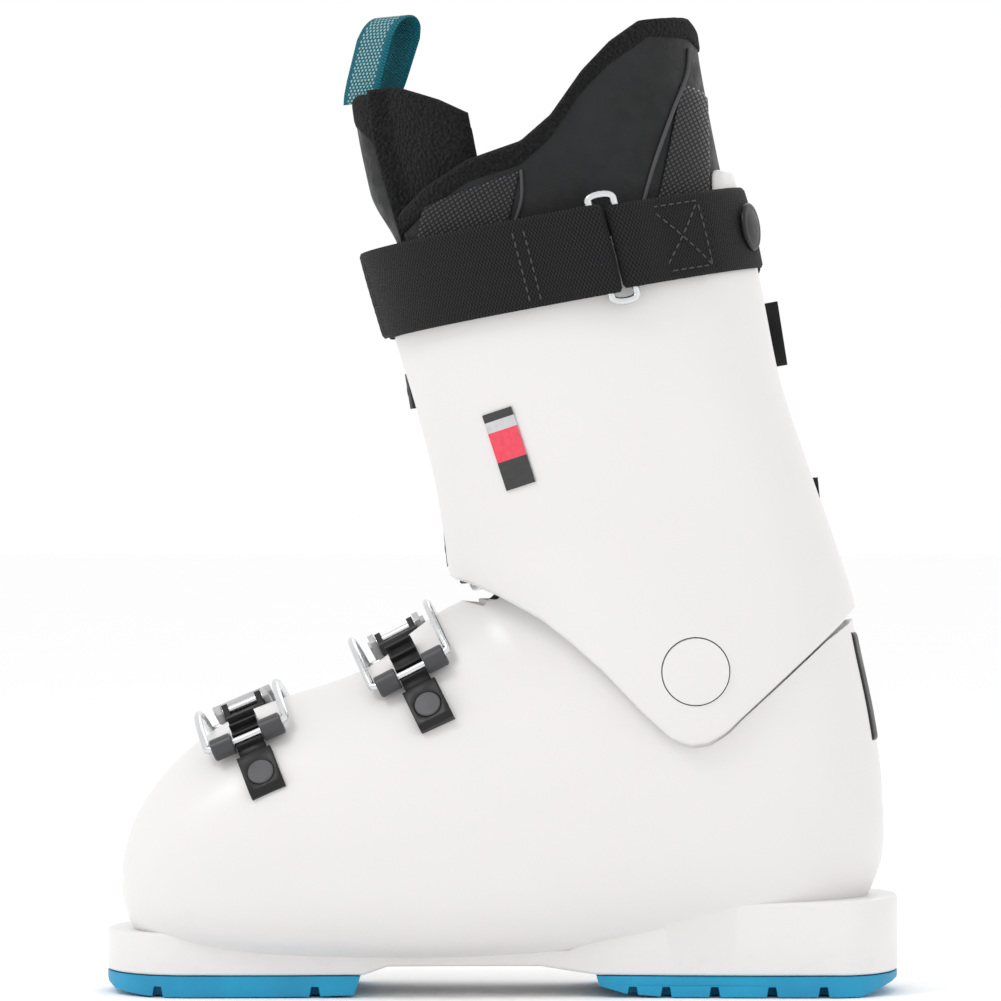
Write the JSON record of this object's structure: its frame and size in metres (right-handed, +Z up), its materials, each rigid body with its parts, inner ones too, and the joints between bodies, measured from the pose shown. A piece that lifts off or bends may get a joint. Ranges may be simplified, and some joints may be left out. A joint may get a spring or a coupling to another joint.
{
  "type": "alpine ski boot",
  "caption": "Right alpine ski boot: hinged cuff on a moulded foot shell, removable liner, lever buckles with wire bails, and a webbing power strap.",
  "frame": {"origin": "On the ground plane under the middle of the sole, on the boot's centreline", "axes": "+X to the toe, +Y to the inner side of the foot, +Z up"},
  "size_m": [0.265, 0.1209, 0.3267],
  "materials": {
    "shell": "semi-gloss moulded polyurethane, off-white",
    "sole_pad": "matte moulded pad, cyan",
    "board": "matte",
    "black_plastic": "satin moulded, black",
    "grey_plastic": "satin moulded, dark grey",
    "lever_grey": "satin, light grey",
    "steel": "bright drawn wire",
    "webbing": "woven black webbing",
    "lining": "black synthetic and fleece",
    "loop_webbing": "patterned teal webbing",
    "label": "printed sticker with plain colour bars"
  },
  "bodies": {
    "shell": {"lower_shell": "shell", "toe_sole_pad": "sole_pad", "heel_sole_pad": "sole_pad", "boot_board": "board", "spine_plate": "black_plastic", "pivot_cap_inner": "shell", "pivot_cap_outer": "shell", "liner_foot": "lining", "toe_ladder": "black_plastic", "toe_ladder_rivet": "grey_plastic", "toe_buckle_base": "black_plastic", "toe_base_rivet": "grey_plastic", "instep_ladder": "black_plastic", "instep_ladder_rivet": "grey_plastic", "instep_buckle_base": "black_plastic", "instep_base_rivet": "grey_plastic"},
    "cuff": {"cuff": "shell", "liner_shaft": "lining", "tongue": "lining", "pull_loop": "loop_webbing", "strap_main": "webbing", "strap_anchor": "webbing", "strap_ring": "steel", "strap_rivet_inner": "black_plastic", "strap_rivet_outer": "black_plastic", "cuff_label": "label", "lower_cuff_ladder": "black_plastic", "lower_cuff_ladder_rivet": "grey_plastic", "lower_cuff_buckle_base": "black_plastic", "lower_cuff_base_rivet": "grey_plastic", "upper_cuff_ladder": "black_plastic", "upper_cuff_ladder_rivet": "grey_plastic", "upper_cuff_buckle_base": "black_plastic", "upper_cuff_base_rivet": "grey_plastic"},
    "toe_lever": {"toe_lever": "lever_grey", "toe_hinge_pin": "steel"},
    "toe_bail": {"toe_bail": "steel", "toe_bail_sleeve_front": "grey_plastic", "toe_bail_sleeve_rear": "grey_plastic"},
    "instep_lever": {"instep_lever": "lever_grey", "instep_hinge_pin": "steel"},
    "instep_bail": {"instep_bail": "steel", "instep_bail_sleeve_front": "grey_plastic", "instep_bail_sleeve_rear": "grey_plastic"},
    "lower_cuff_lever": {"lower_cuff_lever": "black_plastic", "lower_cuff_hinge_pin": "steel"},
    "lower_cuff_bail": {"lower_cuff_bail": "steel", "lower_cuff_bail_sleeve_front": "grey_plastic", "lower_cuff_bail_sleeve_rear": "grey_plastic"},
    "upper_cuff_lever": {"upper_cuff_lever": "black_plastic", "upper_cuff_hinge_pin": "steel"},
    "upper_cuff_bail": {"upper_cuff_bail": "steel", "upper_cuff_bail_sleeve_front": "grey_plastic", "upper_cuff_bail_sleeve_rear": "grey_plastic"}
  },
  "joints": [
    {"name": "cuff_flex", "type": "hinge", "parent": "shell", "child": "cuff", "pos_m": [-0.0633, 0, 0.1079], "axis": [0, 1, 0], "range_deg": [0, 3], "stiffness_Nm_per_rad": 150},
    {"name": "toe_lever_hinge", "type": "hinge", "parent": "shell", "child": "toe_lever", "pos_m": [0.08797, -0.01733, 0.09476], "axis": [-0.9205, 0, 0.3907], "range_deg": [0, 110]},
    {"name": "toe_bail_hinge", "type": "hinge", "parent": "toe_lever", "child": "toe_bail", "pos_m": [0.08635, -0.02648, 0.09094], "axis": [0.9205, 0, -0.3907], "range_deg": [0, 160]},
    {"name": "instep_lever_hinge", "type": "hinge", "parent": "shell", "child": "instep_lever", "pos_m": [0.03602, -0.01684, 0.11902], "axis": [-0.891, 0, 0.454], "range_deg": [0, 110]},
    {"name": "instep_bail_hinge", "type": "hinge", "parent": "instep_lever", "child": "instep_bail", "pos_m": [0.03316, -0.02496, 0.11342], "axis": [0.891, 0, -0.454], "range_deg": [0, 160]},
    {"name": "lower_cuff_lever_hinge", "type": "hinge", "parent": "cuff", "child": "lower_cuff_lever", "pos_m": [-0.031, -0.05337, 0.15284], "axis": [0.1045, 0, 0.9945], "range_deg": [0, 110]},
    {"name": "lower_cuff_bail_hinge", "type": "hinge", "parent": "lower_cuff_lever", "child": "lower_cuff_bail", "pos_m": [-0.04037, -0.05399, 0.15383], "axis": [-0.1045, 0, -0.9945], "range_deg": [0, 160]},
    {"name": "upper_cuff_lever_hinge", "type": "hinge", "parent": "cuff", "child": "upper_cuff_lever", "pos_m": [-0.01703, -0.05635, 0.20874], "axis": [0.1564, 0, 0.9877], "range_deg": [0, 110]},
    {"name": "upper_cuff_bail_hinge", "type": "hinge", "parent": "upper_cuff_lever", "child": "upper_cuff_bail", "pos_m": [-0.02636, -0.0569, 0.21021], "axis": [-0.1564, 0, -0.9877], "range_deg": [0, 160]}
  ],
  "couplings": [
    {"joint": "toe_bail_hinge", "follows": "toe_lever_hinge", "ratio": 1.45},
    {"joint": "instep_bail_hinge", "follows": "instep_lever_hinge", "ratio": 1.45},
    {"joint": "lower_cuff_bail_hinge", "follows": "lower_cuff_lever_hinge", "ratio": 1.45},
    {"joint": "upper_cuff_bail_hinge", "follows": "upper_cuff_lever_hinge", "ratio": 1.45}
  ]
}
